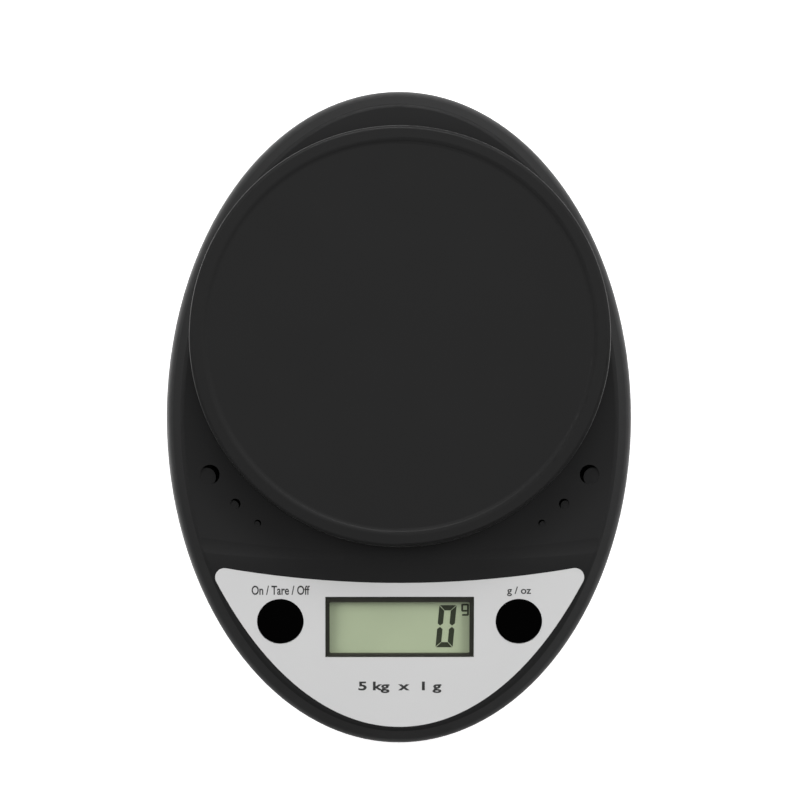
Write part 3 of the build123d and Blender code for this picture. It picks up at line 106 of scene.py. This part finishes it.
# ---------------------------------------------------------------- material recipes
class Recipe:
    """A node material being put together round one Principled shader."""

    def __init__(self, name, colour, roughness, **sockets):
        self.material = bpy.data.materials.new(name)
        self.material.use_nodes = True
        self.nodes = self.material.node_tree.nodes
        self.links = self.material.node_tree.links
        self.shader = self.nodes["Principled BSDF"]
        self.shader.inputs["Base Color"].default_value = (*colour, 1.0)
        self.shader.inputs["Roughness"].default_value = roughness
        for socket, value in sockets.items():
            self.shader.inputs[socket.replace("_", " ")].default_value = value
        self.place = self.nodes.new("ShaderNodeTexCoord").outputs["Object"]

    def stretched(self, x, y, z):
        """Object coordinates scaled by a factor on each axis."""
        mapping = self.nodes.new("ShaderNodeMapping")
        mapping.inputs["Scale"].default_value = (x, y, z)
        self.links.new(self.place, mapping.inputs["Vector"])
        return mapping.outputs["Vector"]

    def noise(self, scale, detail=3.0, roughness=0.55, vector=None):
        """Soft random pattern, scale in features per metre."""
        texture = self.nodes.new("ShaderNodeTexNoise")
        texture.inputs["Scale"].default_value = scale
        texture.inputs["Detail"].default_value = detail
        texture.inputs["Roughness"].default_value = roughness
        self.links.new(vector or self.place, texture.inputs["Vector"])
        return texture.outputs["Fac"]

    def cells(self, scale, feature="F1", vector=None):
        """Cell pattern, scale in cells per metre."""
        texture = self.nodes.new("ShaderNodeTexVoronoi")
        texture.feature = feature
        texture.inputs["Scale"].default_value = scale
        self.links.new(vector or self.place, texture.inputs["Vector"])
        return texture.outputs["Distance"]

    def spread(self, value, low, high, from_low=0.3, from_high=0.7):
        """A pattern's usual range turned into low to high."""
        node = self.nodes.new("ShaderNodeMapRange")
        node.inputs["From Min"].default_value = from_low
        node.inputs["From Max"].default_value = from_high
        node.inputs["To Min"].default_value = low
        node.inputs["To Max"].default_value = high
        self.links.new(value, node.inputs["Value"])
        return node.outputs["Result"]

    def math(self, operation, first, second):
        """Two values, or a value and a number, joined by a math operation."""
        node = self.nodes.new("ShaderNodeMath")
        node.operation = operation
        for socket, value in zip(node.inputs, (first, second)):
            if isinstance(value, (int, float)):
                socket.default_value = value
            else:
                self.links.new(value, socket)
        return node.outputs["Value"]

    def axis(self, letter):
        """One object coordinate, in metres."""
        node = self.nodes.new("ShaderNodeSeparateXYZ")
        self.links.new(self.place, node.inputs["Vector"])
        return node.outputs[letter]

    def ramp(self, value, stops, interpolation="LINEAR"):
        """Colours placed along a value from 0 to 1."""
        node = self.nodes.new("ShaderNodeValToRGB")
        node.color_ramp.interpolation = interpolation
        elements = node.color_ramp.elements
        while len(elements) < len(stops):
            elements.new(0.5)
        for element, (position, colour) in zip(elements, stops):
            element.position = position
            element.color = (*colour, 1.0)
        self.links.new(value, node.inputs["Fac"])
        return node.outputs["Color"]

    def mix(self, factor, first, second):
        """Two colours mixed by a factor."""
        node = self.nodes.new("ShaderNodeMix")
        node.data_type = "RGBA"
        self.links.new(factor, node.inputs["Factor"])
        for socket, colour in ((node.inputs["A"], first), (node.inputs["B"], second)):
            if isinstance(colour, tuple):
                socket.default_value = (*colour, 1.0)
            else:
                self.links.new(colour, socket)
        return node.outputs["Result"]

    def feed(self, socket, value):
        """Drives a socket of the shader with a pattern."""
        self.links.new(value, self.shader.inputs[socket])

    def blend(self, factor, first, second):
        """Makes the surface a mix of two shaders."""
        node = self.nodes.new("ShaderNodeMixShader")
        self.links.new(factor, node.inputs["Fac"])
        self.links.new(first, node.inputs[1])
        self.links.new(second, node.inputs[2])
        self.links.new(node.outputs["Shader"], self.nodes["Material Output"].inputs["Surface"])

    def relief(self, height, depth):
        """Adds bump of the given depth."""
        node = self.nodes.new("ShaderNodeBump")
        node.inputs["Strength"].default_value = 1.0
        node.inputs["Distance"].default_value = depth
        self.links.new(height, node.inputs["Height"])
        self.feed("Normal", node.outputs["Normal"])


def shade(colour, factor):
    """A colour made lighter or darker."""
    return tuple(min(1.0, channel * factor) for channel in colour)


HANDLING = 0.05     # how much the gloss of plastic varies where hands have been


def moulded(name, colour, roughness, grain=2600.0, depth=0.006 * MM, **sockets):
    """Moulded plastic: fine spark-eroded grain, slow tone drift and faint uneven gloss from handling."""
    recipe = Recipe(name, colour, roughness, **sockets)
    drift = recipe.noise(28.0, detail=2.0)
    recipe.feed("Base Color", recipe.ramp(drift, [(0.3, shade(colour, 0.97)), (0.7, shade(colour, 1.03))]))
    gloss = recipe.noise(55.0, detail=5.0, roughness=0.65)
    recipe.feed("Roughness", recipe.spread(gloss, roughness - HANDLING, roughness + HANDLING))
    recipe.relief(recipe.noise(grain, detail=4.0, roughness=0.6), depth)
    return recipe


def rubber(name, colour, roughness=0.75, gloss=0.4):
    """Soft rubber: dull, with a fine pebbled skin and a dusting of lighter bloom."""
    recipe = Recipe(name, colour, roughness, Specular_IOR_Level=gloss)
    bloom = recipe.noise(160.0, detail=6.0, roughness=0.7)
    recipe.feed("Base Color", recipe.ramp(bloom, [(0.45, colour), (0.8, shade(colour, 1.5))]))
    recipe.feed("Roughness", recipe.spread(bloom, roughness - 0.08, roughness + 0.08))
    recipe.relief(recipe.cells(2200.0, "SMOOTH_F1"), 0.012 * MM)
    return recipe


def metal(name, colour, roughness, along=(1.0, 12.0, 12.0)):
    """Drawn or milled metal: fine lines along one axis and a slow change of tone."""
    recipe = Recipe(name, colour, roughness, Metallic=1.0)
    drawn = recipe.noise(900.0, detail=4.0, roughness=0.6, vector=recipe.stretched(*along))
    stain = recipe.noise(90.0, detail=4.0)
    recipe.feed("Base Color", recipe.ramp(stain, [(0.3, shade(colour, 0.82)), (0.7, colour)]))
    recipe.feed("Roughness", recipe.spread(drawn, roughness - 0.09, roughness + 0.09))
    recipe.relief(drawn, 0.004 * MM)
    return recipe


def insulation(name, colour):
    """Soft PVC sleeve of a thin lead, slightly glossy, with faint lengthwise flow lines."""
    recipe = Recipe(name, colour, 0.38)
    flow = recipe.noise(700.0, detail=3.0, vector=recipe.stretched(1.0, 0.12, 1.0))
    recipe.feed("Base Color", recipe.ramp(flow, [(0.3, shade(colour, 0.8)), (0.7, shade(colour, 1.15))]))
    recipe.feed("Roughness", recipe.spread(flow, 0.3, 0.46))
    recipe.relief(flow, 0.01 * MM)
    return recipe


# ---------------------------------------------------------------- visible casing
HOUSING_BLACK = (0.0136, 0.0136, 0.0138)
PLATFORM_BLACK = (0.0105, 0.0105, 0.0106)
PANEL_GREY = (0.635, 0.635, 0.635)
GLASS_GREEN = (0.52, 0.58, 0.42)


def panel_sheet():
    """Printed polyester sheet: matt light grey with a very fine tooth."""
    recipe = Recipe("panel_sheet", PANEL_GREY, 0.5)
    tooth = recipe.noise(5200.0, detail=3.0)
    cloud = recipe.noise(35.0, detail=2.0)
    recipe.feed("Base Color", recipe.ramp(cloud, [(0.3, shade(PANEL_GREY, 0.985)), (0.7, PANEL_GREY)]))
    recipe.feed("Roughness", recipe.spread(cloud, 0.45, 0.56))
    recipe.relief(tooth, 0.003 * MM)
    return recipe


def display_glass():
    """Reflective liquid crystal glass: grey-green, with the faint grain of its back reflector."""
    recipe = Recipe("display_glass", GLASS_GREEN, 0.28)
    grain = recipe.noise(9000.0, detail=2.0, vector=recipe.stretched(1.0, 0.4, 0.4))
    cloud = recipe.noise(45.0, detail=1.0)
    tone = recipe.ramp(cloud, [(0.3, shade(GLASS_GREEN, 0.96)), (0.7, shade(GLASS_GREEN, 1.03))])
    speckle = recipe.spread(grain, 0.0, 0.12)
    recipe.feed("Base Color", recipe.mix(speckle, tone, shade(GLASS_GREEN, 0.8)))
    recipe.feed("Roughness", recipe.spread(grain, 0.24, 0.34))
    recipe.relief(grain, 0.001 * MM)
    return recipe


def clear_window():
    """Thin acrylic window: light goes straight through, and a little of it is mirrored."""
    recipe = Recipe("clear_window", (0.02, 0.02, 0.02), 0.05)
    haze = recipe.noise(120.0, detail=5.0, roughness=0.7)
    recipe.feed("Roughness", recipe.spread(haze, 0.03, 0.12))
    recipe.relief(recipe.noise(400.0, detail=1.0), 0.001 * MM)
    slope = recipe.nodes.new("ShaderNodeLayerWeight")
    slope.inputs["Blend"].default_value = 0.15
    mirrored = recipe.spread(slope.outputs["Facing"], 0.02, 0.3, 0.0, 1.0)
    clear = recipe.nodes.new("ShaderNodeBsdfTransparent")
    clear.inputs["Color"].default_value = (0.99, 1.0, 0.98, 1.0)
    recipe.blend(mirrored, clear.outputs["BSDF"], recipe.shader.outputs["BSDF"])
    return recipe


def printed_ink(name, colour):
    """Screen-printed or liquid crystal dark: a little uneven in density."""
    recipe = Recipe(name, colour, 0.5)
    density = recipe.noise(1800.0, detail=4.0)
    recipe.feed("Base Color", recipe.ramp(density, [(0.3, shade(colour, 0.8)), (0.7, shade(colour, 1.25))]))
    recipe.relief(density, 0.002 * MM)
    return recipe


# ---------------------------------------------------------------- inner parts
def circuit_board():
    """Green solder mask with the fine relief and paler tone of the copper tracks under it."""
    mask = (0.012, 0.10, 0.035)
    recipe = Recipe("circuit_board", mask, 0.32, Coat_Weight=0.4)
    along = recipe.cells(240.0, "DISTANCE_TO_EDGE", recipe.stretched(0.35, 1.0, 1.0))
    across = recipe.cells(170.0, "DISTANCE_TO_EDGE", recipe.stretched(1.0, 0.4, 1.0))
    tracks = recipe.spread(recipe.math("MINIMUM", along, across), 1.0, 0.0, 0.05, 0.09)
    recipe.feed("Base Color", recipe.mix(tracks, mask, (0.04, 0.22, 0.08)))
    recipe.feed("Roughness", recipe.spread(recipe.noise(300.0), 0.25, 0.4))
    recipe.relief(tracks, 0.02 * MM)
    return recipe


def battery_jacket(name, plus_side):
    """Printed sleeve of a cell: blue body, a copper band at the positive end, bare metal at the ends."""
    steel = (0.62, 0.61, 0.58)
    copper = (0.75, 0.38, 0.16)
    blue = (0.02, 0.07, 0.24)
    recipe = Recipe(name, blue, 0.3, Metallic=0.6)
    low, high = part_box("battery_front" if plus_side < 0 else "battery_rear")
    start = low[0] if plus_side < 0 else high[0]
    reach = recipe.math("MULTIPLY", recipe.math("SUBTRACT", recipe.axis("X"), start), -plus_side)
    part = recipe.math("DIVIDE", reach, high[0] - low[0])
    bands = [(0.0, steel), (0.045, copper), (0.3, shade(copper, 0.1)), (0.32, blue), (0.965, steel)]
    recipe.feed("Base Color", recipe.ramp(part, bands, "CONSTANT"))
    scuff = recipe.noise(500.0, detail=5.0, vector=recipe.stretched(0.3, 1.0, 1.0))
    recipe.feed("Roughness", recipe.spread(scuff, 0.2, 0.42))
    recipe.relief(scuff, 0.004 * MM)
    return recipe


def foam():
    """Open-cell foam pad."""
    recipe = Recipe("foam", (0.07, 0.07, 0.075), 0.95)
    pores = recipe.cells(1500.0)
    recipe.feed("Base Color", recipe.ramp(pores, [(0.1, (0.02, 0.02, 0.022)), (0.6, (0.1, 0.1, 0.105))]))
    recipe.relief(pores, 0.12 * MM)
    return recipe


def silicone():
    """Brushed-on white silicone over the strain gauges, with soft lumps."""
    recipe = Recipe("silicone", (0.78, 0.78, 0.75), 0.42, Subsurface_Weight=0.15)
    lumps = recipe.noise(260.0, detail=3.0)
    recipe.feed("Roughness", recipe.spread(lumps, 0.34, 0.52))
    recipe.relief(lumps, 0.25 * MM)
    return recipe


def gauge_foil():
    """Amber film with the fine folded grid of a strain gauge."""
    amber = (0.5, 0.22, 0.05)
    recipe = Recipe("gauge_foil", amber, 0.3)
    wave = recipe.nodes.new("ShaderNodeTexWave")
    wave.inputs["Scale"].default_value = 900.0
    wave.bands_direction = "Y"
    recipe.links.new(recipe.place, wave.inputs["Vector"])
    grid = wave.outputs["Fac"]
    recipe.feed("Base Color", recipe.ramp(grid, [(0.5, amber), (0.7, (0.62, 0.5, 0.35))]))
    recipe.relief(grid, 0.005 * MM)
    return recipe


def blank_label():
    """Silver polyester label with no print."""
    recipe = Recipe("blank_label", (0.42, 0.42, 0.43), 0.36, Metallic=0.55)
    sheen = recipe.noise(1400.0, detail=3.0, vector=recipe.stretched(0.05, 1.0, 1.0))
    recipe.feed("Base Color", recipe.ramp(sheen, [(0.3, (0.38, 0.38, 0.39)), (0.7, (0.46, 0.46, 0.47))]))
    recipe.feed("Roughness", recipe.spread(sheen, 0.3, 0.44))
    recipe.relief(sheen, 0.002 * MM)
    return recipe


# ---------------------------------------------------------------- dressing the CAD nodes
def dress(material, *nodes):
    """Gives a material to every slot of the named CAD nodes."""
    for node in nodes:
        for material_slot in frame["nodes"][node].material_slots:
            material_slot.material = material.material


dress(moulded("housing_plastic", HOUSING_BLACK, 0.5, Specular_IOR_Level=0.25), "top_housing")
dress(moulded("base_plastic", (0.0115, 0.0115, 0.012), 0.5, depth=0.01 * MM), "bottom_housing")
dress(moulded("door_plastic", (0.0115, 0.0115, 0.012), 0.47), "battery_door", "door_latch_finger")
dress(moulded("platform_plastic", PLATFORM_BLACK, 0.4, Specular_IOR_Level=0.3), "platform")
dress(moulded("carrier_plastic", (0.02, 0.02, 0.021), 0.55, grain=1200.0), "platform_carrier")
dress(panel_sheet(), "display_overlay")
dress(clear_window(), "display_lens")
dress(display_glass(), "lcd_glass")
dress(moulded("bezel_plastic", (0.030, 0.029, 0.024), 0.5), "lcd_bezel")
dress(moulded("holder_plastic", (0.68, 0.68, 0.64), 0.45), "lcd_holder")
dress(rubber("button_rubber", (0.0006, 0.0006, 0.0006), 0.9, 0.02), "button_left", "button_right")
dress(moulded("plunger_plastic", (0.62, 0.56, 0.38), 0.4), "plunger_left", "plunger_right")
dress(moulded("switch_plastic", (0.015, 0.015, 0.016), 0.4), "tact_switch_left", "tact_switch_right")
dress(rubber("zebra_rubber", (0.12, 0.12, 0.13)), "zebra_strips")
dress(circuit_board(), "main_pcb")
dress(moulded("chip_epoxy", (0.006, 0.006, 0.006), 0.22, grain=400.0, depth=0.05 * MM), "cob_chip")
dress(moulded("resistor_ceramic", (0.03, 0.027, 0.025), 0.35), "pcb_resistors")
dress(metal("capacitor_can", (0.8, 0.8, 0.82), 0.28), "pcb_capacitors")
dress(metal("crystal_can", (0.78, 0.76, 0.7), 0.2), "crystal")
dress(metal("plated_screw", (0.66, 0.64, 0.58), 0.3, along=(8.0, 8.0, 8.0)), "pcb_screws")
dress(
    metal("zinc_screw", (0.62, 0.62, 0.6), 0.33, along=(8.0, 8.0, 8.0)),
    "carrier_screws",
    "load_cell_base_screws",
)
dress(
    metal("black_screw", (0.035, 0.035, 0.037), 0.38, along=(8.0, 8.0, 8.0)),
    "housing_screws",
    "overload_stop_screws",
)
dress(metal("milled_aluminium", (0.82, 0.82, 0.83), 0.34), "load_cell")
dress(metal("steel_shim", (0.58, 0.58, 0.57), 0.3), "load_cell_spacer", "carrier_spacer")
dress(
    metal("nickel_spring", (0.78, 0.75, 0.69), 0.22),
    "battery_spring_front",
    "battery_spring_rear",
    "battery_contact_plates",
    "battery_bridge_plate",
)
dress(battery_jacket("battery_jacket_front", -1), "battery_front")
dress(battery_jacket("battery_jacket_rear", 1), "battery_rear")
dress(gauge_foil(), "strain_gauges")
dress(silicone(), "gauge_coating")
dress(foam(), "door_foam_pad")
dress(blank_label(), "underside_label")
dress(rubber("grommet_rubber", (0.012, 0.012, 0.012)), "platform_grommets")
dress(
    rubber("foot_rubber", (0.035, 0.035, 0.036), 0.8),
    *(f"foot_{place}_{side}" for place in ("front", "rear") for side in ("left", "right")),
)
LEAD_COLOURS = {
    "red": (0.42, 0.012, 0.010),
    "black": (0.008, 0.008, 0.008),
    "green": (0.012, 0.20, 0.045),
    "white": (0.72, 0.72, 0.70),
}
lead_materials = {name: insulation("lead_" + name, colour) for name, colour in LEAD_COLOURS.items()}
for name, material in lead_materials.items():
    dress(material, "load_cell_lead_" + name)
for name in ("red", "black"):
    dress(lead_materials[name], "battery_lead_" + name)


# ---------------------------------------------------------------- characters of the display
def add_piece(name, mesh, material):
    """A new mesh piece that rides on the base."""
    piece = bpy.data.objects.new(name, mesh)
    bpy.context.scene.collection.objects.link(piece)
    mesh.materials.append(material.material)
    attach(piece, "base")


def segment_outlines(width, height, stroke, gap):
    """The six outer segments of a seven-segment nought, with mitred ends, about its middle."""
    right = width / 2
    top = height / 2
    inner_x = right - stroke
    inner_y = top - stroke
    taper = stroke * 0.55       # where a side segment starts to narrow to its point
    cap = [
        (-right + gap, top),
        (right - gap, top),
        (inner_x - gap * 0.4, inner_y),
        (-inner_x + gap * 0.4, inner_y),
    ]
    side = [
        (right, top - gap),
        (inner_x, inner_y - gap * 0.6),
        (inner_x, taper),
        (right - stroke / 2, gap),
        (right, taper),
    ]
    outlines = []
    for mirror_y in (1, -1):
        outlines.append([(x, y * mirror_y) for x, y in cap])
    for mirror_x in (1, -1):
        for mirror_y in (1, -1):
            outlines.append([(x * mirror_x, y * mirror_y) for x, y in side])
    return outlines


def slab_mesh(name, outlines, thickness, place):
    """Flat closed tiles of the given outlines, laid with their lower face in the placement's plane."""
    work = bmesh.new()
    for outline in outlines:
        corners = [work.verts.new((x, y, 0.0)) for x, y in outline]
        face = work.faces.new(corners)
        grown = bmesh.ops.extrude_face_region(work, geom=[face])
        lifted = [item for item in grown["geom"] if isinstance(item, bmesh.types.BMVert)]
        bmesh.ops.translate(work, verts=lifted, vec=(0.0, 0.0, thickness))
    bmesh.ops.recalc_face_normals(work, faces=work.faces)
    work.transform(place)
    mesh = bpy.data.meshes.new(name)
    work.to_mesh(mesh)
    work.free()
    return mesh


def unit_outlines(width, height, stroke):
    """The letter g in straight strokes: a ring with cut corners, and a tail under its right side."""
    half = width / 2
    top = height / 2
    waist = top - 0.66 * height
    cut = 0.5 * stroke
    inner = half - stroke
    inner_top = top - stroke
    inner_waist = waist + stroke
    # the ring's outer corners in order, each with the inner corner beside it
    ring = [
        ((-half, waist + cut), (-inner, inner_waist)),
        ((-half, top - cut), (-inner, inner_top)),
        ((-half + cut, top), (-inner, inner_top)),
        ((half - cut, top), (inner, inner_top)),
        ((half, top - cut), (inner, inner_top)),
        ((half, waist + cut), (inner, inner_waist)),
        ((half - cut, waist), (inner, inner_waist)),
        ((-half + cut, waist), (-inner, inner_waist)),
    ]
    outlines = []
    for (outer, inside), (next_outer, next_inside) in zip(ring, ring[1:] + ring[:1]):
        outlines.append(list(dict.fromkeys([outer, next_outer, next_inside, inside])))
    outlines.append([(inner, waist + cut), (half, waist + cut), (half, -top + cut), (inner, -top + stroke)])
    outlines.append([
        (inner, -top + stroke),
        (half, -top + cut),
        (half - cut, -top),
        (-half + cut, -top),
        (-half + cut, -top + stroke),
    ])
    return outlines


character_ink = printed_ink("crystal_dark", (0.035, 0.041, 0.026))
slant = Matrix.Identity(4)
slant[0][1] = tan(CHARACTER_SLANT)
add_piece(
    "display_nought",
    slab_mesh(
        "display_nought",
        segment_outlines(*CHARACTER_SIZE, CHARACTER_STROKE, CHARACTER_GAP),
        CHARACTER_THICKNESS,
        panel_matrix(glass_origin, *CHARACTER_CENTRE) @ slant,
    ),
    character_ink,
)
add_piece(
    "display_unit",
    slab_mesh(
        "display_unit",
        unit_outlines(*UNIT_SIZE, UNIT_STROKE),
        CHARACTER_THICKNESS,
        panel_matrix(glass_origin, *UNIT_CENTRE),
    ),
    character_ink,
)


# ---------------------------------------------------------------- print on the panel
def lettering(name, words, size, origin, x, y, material, boldness):
    """Flat raised lettering of a given width and height, turned into a mesh and laid on the panel."""
    curve = bpy.data.curves.new(name + "_curve", "FONT")
    curve.body = words
    curve.align_x = "CENTER"
    curve.align_y = "CENTER"
    curve.resolution_u = 6
    curve.offset = boldness
    draft = bpy.data.objects.new(name + "_draft", curve)
    bpy.context.scene.collection.objects.link(draft)
    bpy.context.view_layer.update()
    across = size[0] / draft.dimensions.x
    along = size[1] / draft.dimensions.y
    curve.extrude = 0.5
    bpy.context.view_layer.update()
    evaluated = draft.evaluated_get(bpy.context.evaluated_depsgraph_get())
    mesh = bpy.data.meshes.new_from_object(evaluated)
    mesh.name = name
    bpy.data.objects.remove(draft)
    mesh.materials.clear()
    mesh.transform(panel_matrix(origin, x, y) @ Matrix.Diagonal((across, along, PRINT_THICKNESS, 1.0)))
    add_piece(name, mesh, material)


panel_ink = printed_ink("panel_ink", (0.03, 0.03, 0.03))
left_button = middle("button_left")
right_button = middle("button_right")
button_y = (left_button - panel_origin).dot(PANEL_UP)
label_y = button_y + LABEL_RISE
lettering(
    "print_power",
    "On / Tare / Off",
    POWER_LABEL_SIZE,
    panel_origin,
    left_button.x,
    label_y,
    panel_ink,
    LABEL_BOLDNESS,
)
lettering(
    "print_unit",
    "g / oz",
    UNIT_LABEL_SIZE,
    panel_origin,
    right_button.x,
    label_y,
    panel_ink,
    LABEL_BOLDNESS,
)
lettering(
    "print_capacity",
    "5 kg  x  1 g",
    CAPACITY_LABEL_SIZE,
    panel_origin,
    0.0,
    -CAPACITY_DROP,
    panel_ink,
    CAPACITY_BOLDNESS,
)


# ---------------------------------------------------------------- floor, light and camera
def make_floor():
    """Pale floor, bright enough to read as white, which isn't there when it is seen from below."""
    mesh = bpy.data.meshes.new("floor")
    corners = [(x * FLOOR_HALF, y * FLOOR_HALF, 0.0) for x, y in ((-1, -1), (1, -1), (1, 1), (-1, 1))]
    mesh.from_pydata(corners, [], [(0, 1, 2, 3)])
    floor = bpy.data.objects.new("floor", mesh)
    bpy.context.scene.collection.objects.link(floor)
    recipe = Recipe("floor_white", FLOOR_WHITE, 0.9)
    recipe.shader.inputs["Emission Color"].default_value = (1.0, 1.0, 1.0, 1.0)
    recipe.shader.inputs["Emission Strength"].default_value = FLOOR_GLOW
    recipe.feed("Roughness", recipe.spread(recipe.noise(20.0), 0.85, 0.95))
    facing = recipe.nodes.new("ShaderNodeNewGeometry")
    clear = recipe.nodes.new("ShaderNodeBsdfTransparent")
    recipe.blend(facing.outputs["Backfacing"], recipe.shader.outputs["BSDF"], clear.outputs["BSDF"])
    mesh.materials.append(recipe.material)
    floor.visible_glossy = False


def area_light(name, place, width, depth, watts, mirrored):
    """Soft box aimed at the scale, which is mirrored in its plastic or only lights it."""
    light = bpy.data.lights.new(name, "AREA")
    light.shape = "RECTANGLE"
    light.size = width
    light.size_y = depth
    light.energy = watts
    lamp = bpy.data.objects.new(name, light)
    lamp.location = place
    lamp.rotation_mode = "QUATERNION"
    lamp.rotation_quaternion = (CAMERA_TARGET - Vector(place)).to_track_quat("-Z", "Y")
    lamp.visible_glossy = mirrored
    bpy.context.scene.collection.objects.link(lamp)


def make_world(greys, front, back, left, right):
    """Studio surroundings: greys by height, times strengths that change from side to side."""
    world = bpy.data.worlds.new("studio")
    world.use_nodes = True
    nodes = world.node_tree.nodes
    links = world.node_tree.links
    direction = nodes.new("ShaderNodeTexCoord").outputs["Generated"]
    split = nodes.new("ShaderNodeSeparateXYZ")
    links.new(direction, split.inputs["Vector"])
    height = nodes.new("ShaderNodeMapRange")
    height.inputs["From Min"].default_value = -1.0
    links.new(split.outputs["Z"], height.inputs["Value"])
    ramp = nodes.new("ShaderNodeValToRGB")
    elements = ramp.color_ramp.elements
    while len(elements) < len(greys):
        elements.new(0.5)
    for element, (position, grey) in zip(elements, greys):
        element.position = position
        element.color = (grey, grey, grey, 1.0)
    links.new(height.outputs["Result"], ramp.inputs["Fac"])
    links.new(ramp.outputs["Color"], nodes["Background"].inputs["Color"])
    strength = nodes.new("ShaderNodeMath")
    strength.operation = "MULTIPLY"
    for letter, low, high, socket in zip("XY", (left, front), (right, back), strength.inputs):
        across = nodes.new("ShaderNodeMapRange")
        across.inputs["From Min"].default_value = -1.0
        across.inputs["To Min"].default_value = low
        across.inputs["To Max"].default_value = high
        links.new(split.outputs[letter], across.inputs["Value"])
        links.new(across.outputs["Result"], socket)
    links.new(strength.outputs["Value"], nodes["Background"].inputs["Strength"])
    bpy.context.scene.world = world


def make_camera():
    """Long lens straight above the scale, a little to its left."""
    data = bpy.data.cameras.new("camera")
    data.sensor_width = SENSOR
    data.lens = SENSOR * CAMERA_DISTANCE / VIEW_WIDTH
    data.clip_end = 20.0
    camera = bpy.data.objects.new("camera", data)
    camera.location = CAMERA_TARGET + Vector((CAMERA_LEAN, 0.0, CAMERA_DISTANCE))
    back = (camera.location - CAMERA_TARGET).normalized()
    right = Vector((0.0, 1.0, 0.0)).cross(back).normalized()
    up = back.cross(right)
    camera.rotation_euler = Matrix((right, up, back)).transposed().to_euler()
    bpy.context.scene.collection.objects.link(camera)
    bpy.context.scene.camera = camera


make_floor()
make_world(STUDIO_GREYS, front=0.25, back=1.1, left=0.95, right=1.6)
area_light("back_box", (0.0, 1.5, 1.1), 1.4, 0.4, 10.0, mirrored=True)
area_light("left_box", (-1.4, 0.4, 0.9), 1.2, 0.7, 20.0, mirrored=False)
area_light("right_box", (1.4, 0.5, 0.9), 1.2, 0.7, 23.0, mirrored=False)
make_camera()
bpy.context.scene.view_settings.view_transform = "Standard"
